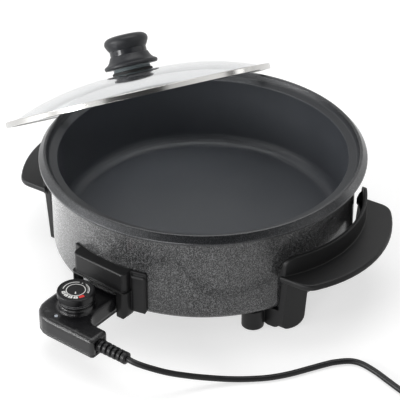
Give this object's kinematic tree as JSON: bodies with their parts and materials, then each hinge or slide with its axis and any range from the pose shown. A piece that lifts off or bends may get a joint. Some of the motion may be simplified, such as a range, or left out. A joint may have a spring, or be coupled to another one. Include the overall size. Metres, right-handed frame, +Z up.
{
  "type": "electric skillet",
  "caption": "Deep round electric skillet with a cast pan in a painted housing, two handles with legs, a leaning glass lid, and a plug-in thermostat with dial and cord.",
  "frame": {"origin": "on the table, straight under the centre of the pan", "axes": "+Z up, the pan's axis; +X to the right when the skillet is seen from the front with the socket at the front left, 127.4 degrees clockwise from +X"},
  "size_m": [0.6068, 0.7103, 0.2008],
  "materials": {
    "nonstick_coating": "satin black non-stick coating on cast aluminium",
    "hammered_paint": "grey hammertone enamel",
    "element_sheath": "heat-dulled steel sheath",
    "plate_steel": "plain sheet steel",
    "bright_steel": "bright steel",
    "ceramic": "glazed ceramic",
    "handle_plastic": "satin black phenolic",
    "guard_plastic": "satin black phenolic",
    "black_rubber": "matt black rubber",
    "clear_glass": "clear tempered glass",
    "band_steel": "polished steel",
    "knob_plastic": "satin charcoal phenolic",
    "base_ring": "grey phenolic",
    "case_plastic": "gloss black",
    "brass_alloy": "plain brass",
    "lamp_glass": "neon lamp envelope",
    "lens_plastic": "frosted clear lens",
    "cord_jacket": "matt black cord jacket",
    "dial_plastic": "gloss black with a printed plate"
  },
  "bodies": {
    "root": {"inner_pan": "nonstick_coating", "outer_housing": "hammered_paint", "heating_element": "element_sheath", "terminal_plate": "plate_steel", "pin_insulators": "ceramic", "heat_shield": "plate_steel", "shield_spacers": "plate_steel", "body_screws": "bright_steel", "handle_right": "handle_plastic", "handle_left": "handle_plastic", "foot_pads": "black_rubber", "handle_screws": "bright_steel", "nut_plates": "plate_steel", "socket_guard": "guard_plastic", "guard_screws": "bright_steel"},
    "lid": {"lid_glass": "clear_glass", "lid_rim_band": "band_steel", "lid_knob": "knob_plastic", "knob_base": "base_ring", "knob_gasket": "black_rubber", "knob_screw": "bright_steel", "knob_washer": "plate_steel", "steam_vent": "bright_steel"},
    "thermostat": {"thermostat_cover": "case_plastic", "thermostat_base": "case_plastic", "probe_rod": "bright_steel", "socket_terminals": "brass_alloy", "thermostat_frame": "plate_steel", "contact_leaves": "brass_alloy", "pilot_lamp": "lamp_glass", "indicator_lens": "lens_plastic", "cord_clamp": "plate_steel", "case_screws": "bright_steel", "strain_relief": "cord_jacket", "cord_tube": "cord_jacket", "cord_coil": "cord_jacket", "cord_tie": "black_rubber", "cord_tail": "cord_jacket", "plug_body": "cord_jacket", "plug_pins": "bright_steel"},
    "dial": {"dial_knob": "dial_plastic", "dial_plate": "dial_plastic", "dial_shaft": "brass_alloy"}
  },
  "joints": [
    {"name": "lid_lift", "type": "slide", "parent": "root", "child": "lid", "axis": [0, 0, 1], "range_m": [0, 0.25]},
    {"name": "thermostat_pull", "type": "slide", "parent": "root", "child": "thermostat", "axis": [-0.6074, -0.7944, 0], "range_m": [0, 0.13]},
    {"name": "dial_turn", "type": "hinge", "parent": "thermostat", "child": "dial", "pos_m": [-0.14547, -0.19026, 0.07], "axis": [0, 0, 1], "range_deg": [0, 300]}
  ]
}
